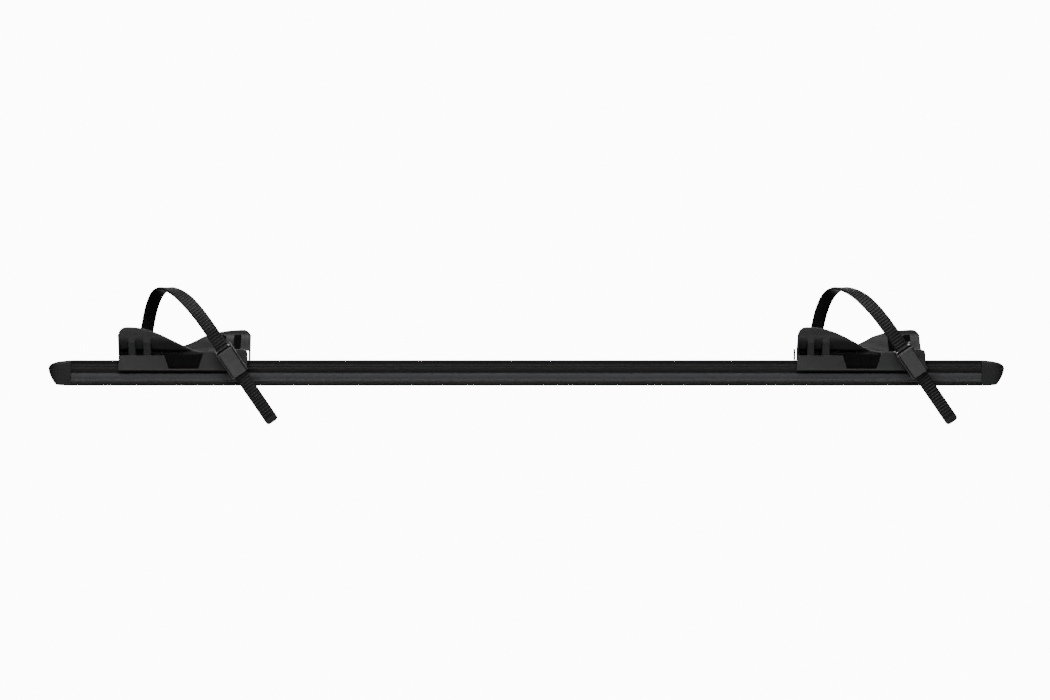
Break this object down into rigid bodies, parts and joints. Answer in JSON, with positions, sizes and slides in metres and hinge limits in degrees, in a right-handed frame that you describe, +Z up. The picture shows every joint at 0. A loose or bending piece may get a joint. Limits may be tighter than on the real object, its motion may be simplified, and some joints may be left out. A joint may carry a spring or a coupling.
{
  "type": "roof rack wheel rail",
  "caption": "Roof rack rail for a bicycle: an aluminium channel with sliding moulded wheel cradles, each with a toothed strap and a ratchet buckle.",
  "frame": {"origin": "middle of the rail's underside, in the mouth of its T-slot, where the load bars' T-bolts hold it", "axes": "+X along the rail towards the right-hand cap, -Y towards the buckle side, +Z up"},
  "size_m": [1.28, 0.0987, 0.1842],
  "materials": {
    "anodised_aluminium": "black anodised, satin",
    "moulded_plastic": "fine moulded texture",
    "strap_plastic": "satin, toothed",
    "lever_plastic": "fine grain",
    "black_steel": "black coated",
    "zinc_steel": "zinc plated"
  },
  "bodies": {
    "rail_assembly": {"rail": "anodised_aluminium", "end_cap_left": "moulded_plastic", "end_cap_right": "moulded_plastic", "end_cap_screw_left": "zinc_steel", "end_cap_screw_right": "zinc_steel"},
    "left_holder": {"left_cradle": "moulded_plastic", "left_clamp_plate": "zinc_steel", "left_clamp_bolt_1": "zinc_steel", "left_clamp_bolt_2": "zinc_steel", "left_clamp_nut_1": "zinc_steel", "left_clamp_nut_2": "zinc_steel", "left_strap": "strap_plastic", "left_strap_bolt": "zinc_steel", "left_strap_washer": "zinc_steel", "left_strap_nut": "zinc_steel", "left_buckle_frame": "black_steel", "left_buckle_bolt": "zinc_steel", "left_buckle_nut": "zinc_steel", "left_lever_pin": "black_steel", "left_holding_pin": "zinc_steel", "left_holding_spring": "zinc_steel"},
    "left_lever": {"left_ratchet_lever": "lever_plastic", "left_drive_pin": "zinc_steel", "left_drive_spring": "zinc_steel"},
    "left_drive_pawl_body": {"left_drive_pawl": "zinc_steel"},
    "left_holding_pawl_body": {"left_holding_pawl": "black_steel"},
    "right_holder": {"right_cradle": "moulded_plastic", "right_clamp_plate": "zinc_steel", "right_clamp_bolt_1": "zinc_steel", "right_clamp_bolt_2": "zinc_steel", "right_clamp_nut_1": "zinc_steel", "right_clamp_nut_2": "zinc_steel", "right_strap": "strap_plastic", "right_strap_bolt": "zinc_steel", "right_strap_washer": "zinc_steel", "right_strap_nut": "zinc_steel", "right_buckle_frame": "black_steel", "right_buckle_bolt": "zinc_steel", "right_buckle_nut": "zinc_steel", "right_lever_pin": "black_steel", "right_holding_pin": "zinc_steel", "right_holding_spring": "zinc_steel"},
    "right_lever": {"right_ratchet_lever": "lever_plastic", "right_drive_pin": "zinc_steel", "right_drive_spring": "zinc_steel"},
    "right_drive_pawl_body": {"right_drive_pawl": "zinc_steel"},
    "right_holding_pawl_body": {"right_holding_pawl": "black_steel"}
  },
  "joints": [
    {"name": "left_holder_slide", "type": "slide", "parent": "rail_assembly", "child": "left_holder", "axis": [1, 0, 0], "range_m": [-0.06, 0.3]},
    {"name": "left_lever_hinge", "type": "hinge", "parent": "left_holder", "child": "left_lever", "pos_m": [-0.40088, -0.0496, 0.04504], "axis": [-0.8251, 0, -0.565], "range_deg": [0, 70], "stiffness_Nm_per_rad": 0.02, "springref_deg": -28.65},
    {"name": "left_drive_pawl_hinge", "type": "hinge", "parent": "left_lever", "child": "left_drive_pawl_body", "pos_m": [-0.39613, -0.0485, 0.03811], "axis": [-0.8251, 0, -0.565], "range_deg": [0, 20], "stiffness_Nm_per_rad": 0.0005, "springref_deg": -34.38},
    {"name": "left_holding_pawl_hinge", "type": "hinge", "parent": "left_holder", "child": "left_holding_pawl_body", "pos_m": [-0.40393, -0.0488, 0.04949], "axis": [-0.8251, 0, -0.565], "range_deg": [0, 35], "stiffness_Nm_per_rad": 0.0005, "springref_deg": -34.38},
    {"name": "right_holder_slide", "type": "slide", "parent": "rail_assembly", "child": "right_holder", "axis": [1, 0, 0], "range_m": [-0.3, 0.07]},
    {"name": "right_lever_hinge", "type": "hinge", "parent": "right_holder", "child": "right_lever", "pos_m": [0.50462, -0.0496, 0.04504], "axis": [-0.8251, 0, -0.565], "range_deg": [0, 70], "stiffness_Nm_per_rad": 0.02, "springref_deg": -28.65},
    {"name": "right_drive_pawl_hinge", "type": "hinge", "parent": "right_lever", "child": "right_drive_pawl_body", "pos_m": [0.50937, -0.0485, 0.03811], "axis": [-0.8251, 0, -0.565], "range_deg": [0, 20], "stiffness_Nm_per_rad": 0.0005, "springref_deg": -34.38},
    {"name": "right_holding_pawl_hinge", "type": "hinge", "parent": "right_holder", "child": "right_holding_pawl_body", "pos_m": [0.50157, -0.0488, 0.04949], "axis": [-0.8251, 0, -0.565], "range_deg": [0, 35], "stiffness_Nm_per_rad": 0.0005, "springref_deg": -34.38}
  ]
}
